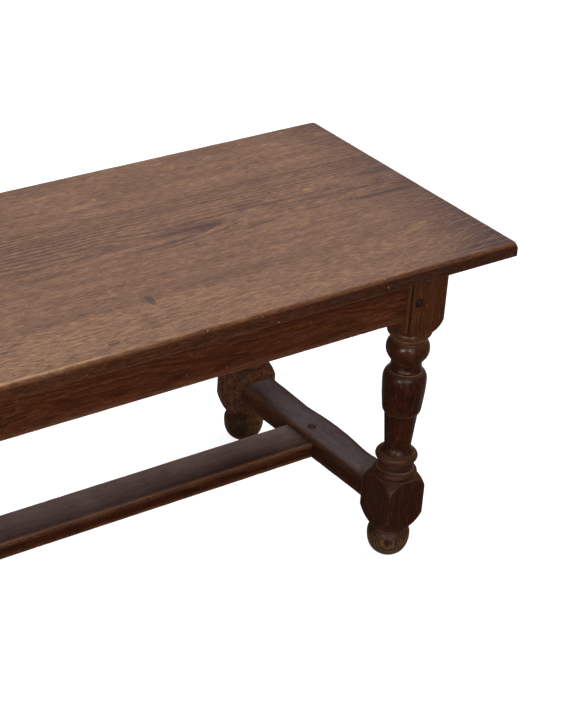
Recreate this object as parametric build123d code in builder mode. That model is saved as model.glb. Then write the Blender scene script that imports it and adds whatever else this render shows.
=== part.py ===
from build123d import *
import os

# Overall sizes
table_length = 1085
table_width = 433
table_height = 458
top_thickness = 22
top_corner_radius = 4
top_side_round = 5
top_lower_ease = 0.6
top_end_round_run = 10.5
top_end_round_fall = 18
front_board_width = 90
back_board_width = 123

# Where the legs stand
end_overhang = 100.5
side_overhang = 16
leg_block = 60
leg_arris_ease = 0.5

# Ball foot and the square block above it
lower_block_bottom = 69
lower_block_top = 109.5
lower_arris_rise = 1.5
foot_pad_radius = 10.5
foot_radius = 28.9
foot_neck_radius = 23.4
foot_collar_radius = 24.8
foot_level_shares = {"waist": 0.457, "neck": 0.633, "collar": 0.642, "shoulder": 0.675}
foot_shoulder_bulge = 1.7
foot_pad_slope_share = 0.35
foot_neck_slope_share = 0.8

# Turned middle of the leg, between its two square blocks
upper_block_length = 72.5
torus_radius = 29.5
torus_arris_radius = 25.6
hollow_radius = 23.4
fillet_radius = 24.5
bead_radius = 28.4
bead_arris_radius = 24.7
shaft_foot_radius = 17.8
shaft_head_radius = 22.4
cove_hollow_share = 0.2
neck_hollow_share = 0.33
torus_top_slope_share = 0.8
lip_slope_share = 0.5
cup_side_slope_share = 0.1
cup_top_slope_share = 0.7
cup_lip_radius = 26.2
cup_radius = 29.2
cup_arris_radius = 23.6
neck_collar_radius = 22.1
neck_radius = 20.5
neck_fillet_radius = 21.0
bulb_radius = 28.9
bulb_top_radius = 23.8
ring_radius = 24.4
top_hollow_radius = 22.8
top_bead_radius = 29.7
quirk_depth = 1.3
lower_shoulder_bulge = 1.7
upper_shoulder_bulge = 2.2
vase_level_shares = {
    "torus_base": 0.060,
    "torus_crown": 0.081,
    "torus_arris": 0.104,
    "hollow_top": 0.122,
    "fillet_base": 0.125,
    "fillet_top": 0.135,
    "bead_base": 0.154,
    "bead_crown": 0.174,
    "bead_arris": 0.198,
    "shaft_foot": 0.238,
    "shaft_head": 0.438,
    "cup_lip": 0.468,
    "cup_crown": 0.630,
    "cup_arris": 0.686,
    "neck_collar": 0.698,
    "neck_foot": 0.726,
    "neck_top": 0.738,
    "neck_fillet": 0.751,
    "bulb_crown": 0.808,
    "bulb_top": 0.868,
    "ring_top": 0.881,
    "top_bead_base": 0.895,
    "top_bead_crown": 0.914,
    "top_bead_top": 0.930,
}

# Aprons and the bead scratched along their lower edge
apron_depth = 67
apron_thickness = 22
apron_recess = 8.3
scratch_bead_width = 5
scratch_quirk_width = 1.6
scratch_quirk_depth = 1.6
bead_turn_shares = {"low": 0.5, "belly": 0.125, "high": 0.083}
bead_rise_shares = {"belly": 0.2, "high": 0.67}

# Stretchers
end_stretcher_width = 50
end_stretcher_depth = 28
end_stretcher_drop = 0.5
end_stretcher_round = 3
centre_stretcher_width = 60
centre_stretcher_depth = 22
centre_stretcher_round = 0.8

# Mortise and tenon joints
apron_tenon_thickness = 8
apron_tenon_length = 30
apron_tenon_shoulder = 10
end_tenon_thickness = 16
end_tenon_length = 34
end_tenon_shoulder = 5
centre_tenon_depth = 10
centre_tenon_length = 34
centre_tenon_shoulder = 9
mortise_side_clearance = 0.1
mortise_end_clearance = 1

# Pegs
peg_radius = 4
peg_proud = 0.8
peg_head_ease = 0.7
peg_clearance = 0.05
apron_peg_setback = 14.2
apron_peg_height = 28
apron_peg_length = 38
end_peg_setback = 15
end_peg_length = 44
centre_peg_setback = 20.5
centre_peg_length = 22

# Buttons that hold the top down
button_length = 42
button_width = 32
button_depth = 19
button_tongue_length = 7
button_tongue_depth = 8
button_gap = 1.5
button_slot_depth = 9
button_slot_play = 3
button_slot_clearance = 0.3
outer_button_setback = 112
screw_head_radius = 4.2
screw_shank_radius = 2.2
screw_head_depth = 3.1
screw_head_angle = 45
screw_length = 31
screw_hole_length = 32
screw_clearance = 0.05

# How far a cut runs past a face, and a quarter of a full turn
overrun = 2
quarter_turn = 90

# Places that follow from the sizes above
top_underside = table_height - top_thickness
upper_block_bottom = top_underside - upper_block_length
lower_arris_top = lower_block_top + lower_arris_rise
vase_height = upper_block_bottom - lower_block_top
half_block = leg_block / 2
block_corner_radius = half_block * 2 ** 0.5 - leg_arris_ease
leg_x = table_length / 2 - end_overhang - half_block
leg_y = table_width / 2 - side_overhang - half_block
apron_inset = half_block - apron_recess - apron_thickness / 2
long_apron_y = leg_y + apron_inset
end_apron_x = leg_x + apron_inset
apron_bottom = top_underside - apron_depth
apron_tenon_depth = apron_depth - 2 * apron_tenon_shoulder
apron_middle = top_underside - apron_depth / 2
apron_peg_level = apron_bottom + apron_peg_height
end_stretcher_top = lower_block_top - end_stretcher_drop
end_stretcher_bottom = end_stretcher_top - end_stretcher_depth
end_stretcher_middle = end_stretcher_top - end_stretcher_depth / 2
end_stretcher_inner_x = leg_x - half_block
end_stretcher_x = end_stretcher_inner_x + end_stretcher_width / 2
end_tenon_depth = end_stretcher_depth - 2 * end_tenon_shoulder
centre_stretcher_middle = end_stretcher_bottom + centre_stretcher_depth / 2
centre_tenon_width = centre_stretcher_width - 2 * centre_tenon_shoulder
peg_hole_radius = peg_radius + peg_clearance
front_joint_y = -table_width / 2 + front_board_width
back_joint_y = table_width / 2 - back_board_width
button_slot_top = top_underside - button_depth + button_tongue_depth
screw_level = top_underside - button_depth

os.makedirs("parts", exist_ok=True)


def save(part, name):
    """Label a finished piece and write it under its own name."""
    part.label = name
    export_step(part, f"parts/{name}.step")


def foot_level(name):
    """Height of a named place on the ball foot."""
    return foot_level_shares[name] * lower_block_bottom


def vase_level(name):
    """Height of a named place on the turned middle of the leg."""
    return lower_block_top + vase_level_shares[name] * vase_height


def foot_outline():
    """Ball foot, its collar and the shoulder that runs out into the lower block."""
    waist = (foot_radius, foot_level("waist"))
    neck = (foot_neck_radius, foot_level("neck"))
    Line((0, 0), (foot_pad_radius, 0))
    Spline((foot_pad_radius, 0), waist, tangents=[(1, foot_pad_slope_share), (0, 1)])
    Spline(waist, neck, tangents=[(0, 1), (-1, foot_neck_slope_share)])
    Line(neck, (foot_collar_radius, foot_level("collar")))
    shoulder = (foot_collar_radius, foot_level("shoulder"))
    Line((foot_collar_radius, foot_level("collar")), shoulder)
    block = (block_corner_radius, lower_block_bottom)
    SagittaArc(shoulder, block, -foot_shoulder_bulge)
    Line(block, (block_corner_radius, lower_arris_top))


def base_moulding_outline():
    """Shoulder, torus, hollow, fillet and bead at the foot of the shaft."""
    shoulder = (torus_radius, vase_level("torus_base"))
    SagittaArc((block_corner_radius, lower_arris_top), shoulder, -lower_shoulder_bulge)
    torus_foot = (torus_radius - quirk_depth, vase_level("torus_base"))
    torus_arris = (torus_arris_radius, vase_level("torus_arris"))
    torus_crown = (torus_radius, vase_level("torus_crown"))
    Line(shoulder, torus_foot)
    Spline(torus_foot, torus_crown, tangents=[(1, torus_top_slope_share), (0, 1)])
    Spline(torus_crown, torus_arris, tangents=[(0, 1), (-1, torus_top_slope_share)])
    hollow_foot = (torus_arris_radius - quirk_depth, vase_level("torus_arris"))
    hollow_top = (hollow_radius, vase_level("hollow_top"))
    Line(torus_arris, hollow_foot)
    Line(hollow_foot, hollow_top)
    fillet_base = (fillet_radius, vase_level("fillet_base"))
    fillet_top = (fillet_radius, vase_level("fillet_top"))
    Line(hollow_top, fillet_base)
    Line(fillet_base, fillet_top)
    bead_base = (hollow_radius, vase_level("bead_base"))
    bead_arris = (bead_arris_radius, vase_level("bead_arris"))
    Line(fillet_top, bead_base)
    ThreePointArc(bead_base, (bead_radius, vase_level("bead_crown")), bead_arris)
    cove_foot = (bead_arris_radius - quirk_depth, vase_level("bead_arris"))
    Line(bead_arris, cove_foot)
    cove_run = bead_arris_radius - quirk_depth - shaft_foot_radius
    SagittaArc(cove_foot, (shaft_foot_radius, vase_level("shaft_foot")), cove_hollow_share * cove_run)


def shaft_outline():
    """Tapered shaft and the cup above it."""
    foot = (shaft_foot_radius, vase_level("shaft_foot"))
    head = (shaft_head_radius, vase_level("shaft_head"))
    lip = (cup_lip_radius, vase_level("cup_lip"))
    crown = (cup_radius, vase_level("cup_crown"))
    arris = (cup_arris_radius, vase_level("cup_arris"))
    Line(foot, head)
    Spline(head, lip, tangents=[(1, lip_slope_share), (cup_side_slope_share, 1)])
    Spline(lip, crown, tangents=[(cup_side_slope_share, 1), (0, 1)])
    Spline(crown, arris, tangents=[(0, 1), (-1, cup_top_slope_share)])


def neck_outline():
    """Collar, neck, bulb, ring and bead under the upper block."""
    arris = (cup_arris_radius, vase_level("cup_arris"))
    quirk = (cup_arris_radius - quirk_depth, vase_level("cup_arris"))
    collar = (neck_collar_radius, vase_level("neck_collar"))
    neck_foot = (neck_radius, vase_level("neck_foot"))
    neck_top = (neck_radius, vase_level("neck_top"))
    fillet_foot = (neck_fillet_radius, vase_level("neck_top"))
    fillet_head = (neck_fillet_radius, vase_level("neck_fillet"))
    Line(arris, quirk)
    Line(quirk, collar)
    SagittaArc(collar, neck_foot, neck_hollow_share * (neck_collar_radius - neck_radius))
    Line(neck_foot, neck_top)
    Line(neck_top, fillet_foot)
    Line(fillet_foot, fillet_head)
    bulb_foot = (neck_fillet_radius + quirk_depth / 2, vase_level("neck_fillet"))
    bulb_crown = (bulb_radius, vase_level("bulb_crown"))
    bulb_top = (bulb_top_radius, vase_level("bulb_top"))
    Line(fillet_head, bulb_foot)
    ThreePointArc(bulb_foot, bulb_crown, bulb_top)
    ring_foot = (ring_radius, vase_level("bulb_top"))
    ring_head = (ring_radius, vase_level("ring_top"))
    groove = (top_hollow_radius, vase_level("ring_top"))
    bead_foot = (top_hollow_radius, vase_level("top_bead_base"))
    Line(bulb_top, ring_foot)
    Line(ring_foot, ring_head)
    Line(ring_head, groove)
    Line(groove, bead_foot)
    bead_crown = (top_bead_radius, vase_level("top_bead_crown"))
    bead_top = (top_bead_radius - quirk_depth, vase_level("top_bead_top"))
    ThreePointArc(bead_foot, bead_crown, bead_top)
    shoulder = (top_bead_radius, vase_level("top_bead_top"))
    block = (block_corner_radius, upper_block_bottom)
    Line(bead_top, shoulder)
    SagittaArc(shoulder, block, -upper_shoulder_bulge)
    Line(block, (block_corner_radius, top_underside))
    Line((block_corner_radius, top_underside), (0, top_underside))
    Line((0, top_underside), (0, 0))


def make_leg(side_x, side_y, name):
    """One leg in its corner: turned outline, square blocks, mortises and peg holes."""
    axis_x = side_x * leg_x
    axis_y = side_y * leg_y
    with BuildPart() as leg:
        with BuildSketch(Plane(origin=(axis_x, axis_y, 0), x_dir=(1, 0, 0), z_dir=(0, -1, 0))):
            with BuildLine():
                foot_outline()
                base_moulding_outline()
                shaft_outline()
                neck_outline()
            make_face()
        revolve(axis=Axis((axis_x, axis_y, 0), (0, 0, 1)))
        with BuildSketch(Plane(origin=(axis_x, axis_y, 0))):
            Rectangle(leg_block, leg_block)
        extrude(amount=top_underside, mode=Mode.INTERSECT)

        # Mortises of the long apron, the end apron and the end stretcher
        apron_mortise = apron_tenon_length + mortise_end_clearance
        apron_mortise_width = apron_tenon_thickness + 2 * mortise_side_clearance
        apron_mortise_height = apron_tenon_depth + 2 * mortise_side_clearance
        apron_mortise_inset = half_block - apron_mortise / 2 + overrun / 2
        with Locations((axis_x - side_x * apron_mortise_inset, side_y * long_apron_y, apron_middle)):
            Box(apron_mortise + overrun, apron_mortise_width, apron_mortise_height, mode=Mode.SUBTRACT)
        with Locations((side_x * end_apron_x, axis_y - side_y * apron_mortise_inset, apron_middle)):
            Box(apron_mortise_width, apron_mortise + overrun, apron_mortise_height, mode=Mode.SUBTRACT)
        end_mortise = end_tenon_length + mortise_end_clearance
        end_mortise_inset = half_block - end_mortise / 2 + overrun / 2
        end_mortise_y = axis_y - side_y * end_mortise_inset
        with Locations((side_x * end_stretcher_x, end_mortise_y, end_stretcher_middle)):
            Box(
                end_tenon_thickness + 2 * mortise_side_clearance,
                end_mortise + overrun,
                end_tenon_depth + 2 * mortise_side_clearance,
                mode=Mode.SUBTRACT,
            )

        # Peg holes, bored from the outer faces
        front_plane, side_plane, low_plane = leg_peg_planes(side_x, side_y)
        with BuildSketch(front_plane):
            Circle(peg_hole_radius)
        extrude(amount=-apron_peg_length, mode=Mode.SUBTRACT)
        with BuildSketch(side_plane):
            Circle(peg_hole_radius)
        extrude(amount=-apron_peg_length, mode=Mode.SUBTRACT)
        with BuildSketch(low_plane):
            Circle(peg_hole_radius)
        extrude(amount=-end_peg_length, mode=Mode.SUBTRACT)
    save(leg.part, name)


def leg_peg_planes(side_x, side_y):
    """Planes on a leg's outer faces, centred on its three pegs."""
    inner_x = leg_x - half_block
    inner_y = leg_y - half_block
    front = Plane(
        origin=(side_x * (inner_x + apron_peg_setback), side_y * (leg_y + half_block), apron_peg_level),
        x_dir=(1, 0, 0),
        z_dir=(0, side_y, 0),
    )
    side = Plane(
        origin=(side_x * (leg_x + half_block), side_y * (inner_y + apron_peg_setback), apron_peg_level),
        x_dir=(0, 1, 0),
        z_dir=(side_x, 0, 0),
    )
    low = Plane(
        origin=(side_x * (leg_x + half_block), side_y * (inner_y + end_peg_setback), end_stretcher_middle),
        x_dir=(0, 1, 0),
        z_dir=(side_x, 0, 0),
    )
    return front, side, low


def make_pegs(planes, length, name):
    """A set of like pegs, each driven into its plane and standing a little proud."""
    with BuildPart() as pegs:
        for plane in planes:
            with BuildSketch(plane.offset(peg_proud)):
                Circle(peg_radius)
            extrude(amount=-length - peg_proud)
        heads = [edge for edge in pegs.edges().filter_by(GeomType.CIRCLE) if is_peg_head(edge, planes)]
        chamfer(heads, peg_head_ease)
    save(pegs.part, name)


def is_peg_head(edge, planes):
    """True for the rim of a peg's outer end."""
    middle = edge.arc_center
    head_middles = [plane.origin + plane.z_dir * peg_proud for plane in planes]
    return any((middle - head_middle).length < peg_proud for head_middle in head_middles)


def apron_section(outward):
    """Section of an apron with its bead, drawn about its middle with the show face outward."""
    show = outward * apron_thickness / 2
    quirk = show - outward * scratch_quirk_depth
    low = -apron_depth / 2
    bead_top = low + scratch_bead_width
    turn_x = {name: show - outward * share * scratch_bead_width for name, share in bead_turn_shares.items()}
    rise_y = {name: low + share * scratch_bead_width for name, share in bead_rise_shares.items()}
    bead_high = (turn_x["high"], rise_y["high"])
    Polyline((show, apron_depth / 2), (-show, apron_depth / 2), (-show, low), (turn_x["low"], low))
    ThreePointArc((turn_x["low"], low), (turn_x["belly"], rise_y["belly"]), bead_high)
    Polyline(bead_high, (quirk, bead_top), (show, bead_top + scratch_quirk_width), (show, apron_depth / 2))


def make_long_apron(side_y, name):
    """Front or back apron: beaded board, two tenons, button slots and peg holes."""
    shoulder_x = leg_x - half_block
    with BuildPart() as apron:
        section_place = (-shoulder_x, side_y * long_apron_y, apron_middle)
        section_plane = Plane(origin=section_place, x_dir=(0, 1, 0), z_dir=(1, 0, 0))
        with BuildSketch(section_plane):
            with BuildLine():
                apron_section(side_y)
            make_face()
        extrude(amount=2 * shoulder_x)
        with Locations((0, side_y * long_apron_y, apron_middle)):
            Box(2 * shoulder_x + 2 * apron_tenon_length, apron_tenon_thickness, apron_tenon_depth)
        inner_face_y = long_apron_y - apron_thickness / 2
        with Locations(*[(x, side_y * inner_face_y, button_slot_top) for x in long_button_places()]):
            Box(
                button_width + 2 * button_slot_play,
                2 * button_slot_depth,
                button_tongue_depth + button_slot_clearance,
                align=(Align.CENTER, Align.CENTER, Align.MAX),
                mode=Mode.SUBTRACT,
            )
        for side_x in (-1, 1):
            front_plane = leg_peg_planes(side_x, side_y)[0]
            with BuildSketch(front_plane):
                Circle(peg_hole_radius)
            extrude(amount=-apron_peg_length, mode=Mode.SUBTRACT)
    save(apron.part, name)


def make_end_apron(side_x, name):
    """Left or right apron: beaded board, two tenons, one button slot and peg holes."""
    shoulder_y = leg_y - half_block
    with BuildPart() as apron:
        section_place = (side_x * end_apron_x, shoulder_y, apron_middle)
        section_plane = Plane(origin=section_place, x_dir=(1, 0, 0), z_dir=(0, -1, 0))
        with BuildSketch(section_plane):
            with BuildLine():
                apron_section(side_x)
            make_face()
        extrude(amount=2 * shoulder_y)
        with Locations((side_x * end_apron_x, 0, apron_middle)):
            Box(apron_tenon_thickness, 2 * shoulder_y + 2 * apron_tenon_length, apron_tenon_depth)
        inner_face_x = end_apron_x - apron_thickness / 2
        with Locations((side_x * inner_face_x, 0, button_slot_top)):
            Box(
                2 * button_slot_depth,
                button_width + 2 * button_slot_play,
                button_tongue_depth + button_slot_clearance,
                align=(Align.CENTER, Align.CENTER, Align.MAX),
                mode=Mode.SUBTRACT,
            )
        for side_y in (-1, 1):
            side_plane = leg_peg_planes(side_x, side_y)[1]
            with BuildSketch(side_plane):
                Circle(peg_hole_radius)
            extrude(amount=-apron_peg_length, mode=Mode.SUBTRACT)
    save(apron.part, name)


def make_end_stretcher(side_x, name):
    """Stretcher across one end, with tenons, the centre stretcher's mortise and peg holes."""
    shoulder_y = leg_y - half_block
    with BuildPart() as stretcher:
        with BuildSketch(Plane(origin=(side_x * end_stretcher_x, 0, end_stretcher_bottom))):
            Rectangle(end_stretcher_width, 2 * shoulder_y)
        extrude(amount=end_stretcher_depth)
        upper_edges = stretcher.edges().filter_by(Axis.Y).group_by(Axis.Z)[-1]
        fillet(upper_edges, end_stretcher_round)
        with Locations((side_x * end_stretcher_x, 0, end_stretcher_middle)):
            Box(end_tenon_thickness, 2 * shoulder_y + 2 * end_tenon_length, end_tenon_depth)
        mortise = centre_tenon_length + mortise_end_clearance
        mortise_x = end_stretcher_inner_x + mortise / 2 - overrun / 2
        with Locations((side_x * mortise_x, 0, centre_stretcher_middle)):
            Box(
                mortise + overrun,
                centre_tenon_width + 2 * mortise_side_clearance,
                centre_tenon_depth + 2 * mortise_side_clearance,
                mode=Mode.SUBTRACT,
            )
        with BuildSketch(centre_peg_plane(side_x)):
            Circle(peg_hole_radius)
        extrude(amount=-centre_peg_length, mode=Mode.SUBTRACT)
        for side_y in (-1, 1):
            low_plane = leg_peg_planes(side_x, side_y)[2]
            with BuildSketch(low_plane):
                Circle(peg_hole_radius)
            extrude(amount=-end_peg_length, mode=Mode.SUBTRACT)
    save(stretcher.part, name)


def centre_peg_plane(side_x):
    """Plane on top of an end stretcher, centred on the peg of the centre stretcher's tenon."""
    return Plane(origin=(side_x * (end_stretcher_inner_x + centre_peg_setback), 0, end_stretcher_top))


def make_centre_stretcher():
    """Flat stretcher along the middle, with a tenon and a peg hole at each end."""
    with BuildPart() as stretcher:
        with BuildSketch(Plane.XY.offset(end_stretcher_bottom)):
            Rectangle(2 * end_stretcher_inner_x, centre_stretcher_width)
        extrude(amount=centre_stretcher_depth)
        fillet(stretcher.edges().filter_by(Axis.X), centre_stretcher_round)
        with Locations((0, 0, centre_stretcher_middle)):
            Box(2 * end_stretcher_inner_x + 2 * centre_tenon_length, centre_tenon_width, centre_tenon_depth)
        for side_x in (-1, 1):
            with BuildSketch(centre_peg_plane(side_x)):
                Circle(peg_hole_radius)
            extrude(amount=-centre_peg_length, mode=Mode.SUBTRACT)
    save(stretcher.part, "centre_stretcher")


def top_end_outline():
    """Lengthwise outline of the top, rounded over from above at both ends."""
    half_length = table_length / 2
    round_level = table_height - top_end_round_fall
    round_start = half_length - top_end_round_run
    Line((-half_length, top_underside), (half_length, top_underside))
    Line((half_length, top_underside), (half_length, round_level))
    Line((-half_length, top_underside), (-half_length, round_level))
    for side_x in (-1, 1):
        middle = (side_x * round_start, round_level)
        first_angle = quarter_turn * (1 - side_x) / 2
        EllipticalCenterArc(middle, top_end_round_run, top_end_round_fall, first_angle, arc_size=quarter_turn)
    Line((-round_start, table_height), (round_start, table_height))


def make_top_board(low_y, high_y, name):
    """One board of the top, cut from the whole rounded top between two glue lines."""
    end_place = (-table_length / 2, 0, table_height - top_thickness / 2)
    with BuildPart() as board:
        with BuildSketch(Plane(origin=end_place, x_dir=(0, 1, 0), z_dir=(1, 0, 0))) as section:
            Rectangle(table_width, top_thickness)
            fillet(section.vertices().group_by(Axis.Y)[-1], top_side_round)
            fillet(section.vertices().group_by(Axis.Y)[0], top_lower_ease)
        extrude(amount=table_length)
        with BuildSketch(Plane.XZ):
            with BuildLine():
                top_end_outline()
            make_face()
        extrude(amount=table_width, both=True, mode=Mode.INTERSECT)
        with BuildSketch(Plane.XY):
            RectangleRounded(table_length, table_width, top_corner_radius)
        extrude(amount=table_height, mode=Mode.INTERSECT)
        if low_y > -table_width / 2:
            split(bisect_by=Plane(origin=(0, low_y, 0), x_dir=(1, 0, 0), z_dir=(0, 1, 0)), keep=Keep.TOP)
        if high_y < table_width / 2:
            split(bisect_by=Plane(origin=(0, high_y, 0), x_dir=(1, 0, 0), z_dir=(0, -1, 0)), keep=Keep.TOP)
        for place in button_places():
            if low_y < place.screw_y < high_y:
                with BuildSketch(Plane(origin=(place.screw_x, place.screw_y, screw_level))):
                    Circle(screw_shank_radius + screw_clearance)
                extrude(amount=screw_hole_length, mode=Mode.SUBTRACT)
    save(board.part, name)


def long_button_places():
    """Where the buttons stand along a long apron."""
    outer_x = leg_x - half_block - outer_button_setback
    return [-outer_x, 0, outer_x]


class ButtonPlace:
    """Where one button bears on its apron, and which way its tongue points."""

    def __init__(self, name, face_x, face_y, out_x, out_y):
        reach = button_gap + button_length / 2
        self.name = name
        self.face_x = face_x
        self.face_y = face_y
        self.out_x = out_x
        self.out_y = out_y
        self.screw_x = face_x - out_x * reach
        self.screw_y = face_y - out_y * reach


def button_places():
    """All the buttons, long aprons first."""
    places = []
    inner_y = long_apron_y - apron_thickness / 2
    inner_x = end_apron_x - apron_thickness / 2
    for side_y, side_name in ((-1, "front"), (1, "back")):
        for x, end_name in zip(long_button_places(), ("left", "middle", "right")):
            name = f"table_button_{side_name}_{end_name}"
            places.append(ButtonPlace(name, x, side_y * inner_y, 0, side_y))
    for side_x, end_name in ((-1, "left"), (1, "right")):
        places.append(ButtonPlace(f"table_button_{end_name}_end", side_x * inner_x, 0, side_x, 0))
    return places


def make_button(place):
    """A rebated block whose tongue sits in the apron's slot, bored for its screw."""
    apron_plane = Plane(
        origin=(place.face_x, place.face_y, screw_level),
        x_dir=(place.out_x, place.out_y, 0),
        z_dir=(0, 0, 1),
    )
    with BuildPart() as button:
        with BuildSketch(apron_plane):
            with Locations((-button_gap, 0)):
                Rectangle(button_length, button_width, align=(Align.MAX, Align.CENTER))
        extrude(amount=button_depth)
        with BuildSketch(apron_plane):
            with Locations((button_tongue_length, 0)):
                tongue = button_tongue_length + button_gap + overrun
                Rectangle(tongue, button_width, align=(Align.MAX, Align.CENTER))
        extrude(amount=button_tongue_depth)
        with BuildSketch(Plane(origin=(place.screw_x, place.screw_y, screw_level))):
            Circle(screw_shank_radius + screw_clearance)
        extrude(amount=button_depth, mode=Mode.SUBTRACT)
        with BuildSketch(Plane(origin=(place.screw_x, place.screw_y, screw_level))):
            Circle(screw_head_radius + screw_clearance)
        extrude(amount=screw_head_radius, taper=screw_head_angle, mode=Mode.SUBTRACT)
    save(button.part, place.name)


def make_screws():
    """The countersunk screws of all the buttons."""
    with BuildPart() as screws:
        for place in button_places():
            plane = Plane(origin=(place.screw_x, place.screw_y, screw_level))
            with BuildSketch(plane):
                Circle(screw_head_radius)
            extrude(amount=screw_head_depth, taper=screw_head_angle)
            with BuildSketch(plane):
                Circle(screw_shank_radius)
            extrude(amount=screw_length)
    save(screws.part, "button_screws")


make_top_board(-table_width / 2, front_joint_y, "top_board_front")
make_top_board(front_joint_y, back_joint_y, "top_board_middle")
make_top_board(back_joint_y, table_width / 2, "top_board_back")

for side_x, end_name in ((-1, "left"), (1, "right")):
    for side_y, side_name in ((-1, "front"), (1, "back")):
        make_leg(side_x, side_y, f"leg_{side_name}_{end_name}")

make_long_apron(-1, "apron_front")
make_long_apron(1, "apron_back")
make_end_apron(-1, "apron_left")
make_end_apron(1, "apron_right")
make_end_stretcher(-1, "end_stretcher_left")
make_end_stretcher(1, "end_stretcher_right")
make_centre_stretcher()

for button_place in button_places():
    make_button(button_place)
make_screws()

for side_y, side_name in ((-1, "front"), (1, "back")):
    front_planes = [leg_peg_planes(side_x, side_y)[0] for side_x in (-1, 1)]
    make_pegs(front_planes, apron_peg_length, f"apron_pegs_{side_name}")
for side_x, end_name in ((-1, "left"), (1, "right")):
    side_planes = [leg_peg_planes(side_x, side_y)[1] for side_y in (-1, 1)]
    low_planes = [leg_peg_planes(side_x, side_y)[2] for side_y in (-1, 1)]
    make_pegs(side_planes, apron_peg_length, f"apron_pegs_{end_name}")
    make_pegs(low_planes, end_peg_length, f"stretcher_pegs_{end_name}")
make_pegs([centre_peg_plane(side_x) for side_x in (-1, 1)], centre_peg_length, "centre_stretcher_pegs")
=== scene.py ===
import bmesh
import bpy
import math
import numpy as np
from mathutils import Matrix, Vector, noise
from mathutils.bvhtree import BVHTree


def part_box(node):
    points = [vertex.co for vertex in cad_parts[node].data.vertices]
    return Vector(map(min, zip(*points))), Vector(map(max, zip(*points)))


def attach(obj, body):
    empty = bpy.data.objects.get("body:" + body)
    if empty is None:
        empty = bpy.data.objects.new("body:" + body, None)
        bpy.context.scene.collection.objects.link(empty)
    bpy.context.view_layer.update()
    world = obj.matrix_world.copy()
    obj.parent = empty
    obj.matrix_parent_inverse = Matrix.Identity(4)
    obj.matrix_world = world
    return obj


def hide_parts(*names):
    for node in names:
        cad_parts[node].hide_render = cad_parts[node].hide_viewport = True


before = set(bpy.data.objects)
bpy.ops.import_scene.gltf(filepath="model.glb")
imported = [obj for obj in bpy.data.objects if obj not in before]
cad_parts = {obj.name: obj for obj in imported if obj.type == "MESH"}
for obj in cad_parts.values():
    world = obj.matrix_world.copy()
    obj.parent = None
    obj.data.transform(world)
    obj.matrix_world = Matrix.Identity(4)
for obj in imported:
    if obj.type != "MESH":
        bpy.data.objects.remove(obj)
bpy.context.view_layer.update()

MM = 0.001

# Values that every dressed mesh carries at its points, for its material: the wear map also holds painted glints and
# highlights, the dust map holds painted shade on the top's rolled edge, and the tone map holds painted sheen and shade
# on the stretchers
MAPS = ("worn", "dust_and_roll_shade", "figure", "bold", "tone")


# Small helpers for shapes

def smooth_step(x):
    """0 below 0, 1 above 1, and an even rise between."""
    x = np.clip(x, 0.0, 1.0)
    return x * x * (3.0 - 2.0 * x)


def bump(x, middle, half):
    """1 at the middle, fading to 0 over the given half width."""
    return np.exp(-((x - middle) / half) ** 2)


def soft_min(a, b, width):
    """The lesser of two lengths, rounded off where they meet."""
    meet = np.clip(1.0 - np.abs(a - b) / width, 0.0, 1.0)
    return np.minimum(a, b) - meet * meet * width / 4.0


def wander(x, y, z, scale, seed):
    """Smooth noise from -1 to 1 at arrays of places, with features of the given size."""
    x, y, z = np.broadcast_arrays(x, y, z)
    places = np.stack([x.ravel(), y.ravel(), z.ravel()], -1) / scale + seed * 17.31
    values = [noise.noise(place) for place in places.tolist()]
    return np.array(values).reshape(x.shape)


def grid_faces(rows, columns, wrap):
    """Quads that join a grid of points row by row; wrap joins the last column to the first."""
    last = columns if wrap else columns - 1
    row = np.arange(rows - 1)[:, None]
    column = np.arange(last)[None, :]
    beside = (column + 1) % columns
    a = row * columns + column
    b = row * columns + beside
    return np.stack([a, b, b + columns, a + columns], -1).reshape(-1, 4).tolist()


def make_piece(name, points, faces, **maps):
    """A smooth-shaded mesh object that carries its maps: wear, with painted glints and highlights; dust, with painted
    shade on the top's rolled edge; figure; bold; and tone, with painted sheen and shade on the stretchers.
    """
    mesh = bpy.data.meshes.new(name)
    mesh.from_pydata(np.asarray(points).tolist(), [], faces)
    for label in MAPS:
        values = np.full(len(points), maps.get(label, 0.0), dtype=np.float32)
        mesh.attributes.new(label, "FLOAT", "POINT").data.foreach_set("value", values)
    shape = bmesh.new()
    shape.from_mesh(mesh)
    bmesh.ops.recalc_face_normals(shape, faces=shape.faces[:])
    shape.to_mesh(mesh)
    shape.free()
    mesh.polygons.foreach_set("use_smooth", [len(face.vertices) < 5 for face in mesh.polygons])
    mesh.update()
    piece = bpy.data.objects.new(name, mesh)
    bpy.context.scene.collection.objects.link(piece)
    return piece


def node_middle(node):
    """The middle of a solid's box."""
    low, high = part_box(node)
    return [(a + b) / 2.0 for a, b in zip(low, high)]


def mount_piece(piece, node, material):
    """Puts a finished piece in its node's place."""
    piece.data.materials.append(material)
    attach(piece, "root")
    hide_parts(node)


# Turned legs

BLOCK_HALF = 30.0 * MM
LEG_RING = 1.8 * MM
LEG_EDGE = 1.6 * MM

# Where the heart of the tree lies for each leg, in millimetres from its axis
LEG_PITHS = ((46.0, 58.0), (34.0, 44.0), (38.0, 40.0), (-58.0, 20.0))


def read_profile(node, axis_x, axis_y):
    """Radius against height of a leg's turned outline, read at its outer corner."""
    low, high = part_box(node)
    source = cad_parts[node]
    corners = [v.co.copy() for v in source.data.vertices]
    tree = BVHTree.FromPolygons(corners, [list(p.vertices) for p in source.data.polygons])
    heading = Vector((math.copysign(1.0, axis_x), math.copysign(1.0, axis_y), 0.0)).normalized()
    step = 0.1 * MM
    heights = np.arange(low[2] + step / 2, high[2], step)
    radii = []
    for height in heights:
        axis = Vector((axis_x, axis_y, height))
        hit = tree.ray_cast(axis + heading * 0.08, -heading)[0]
        radii.append((hit - axis).length if hit else radii[-1])
    return heights, np.array(radii)


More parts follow.
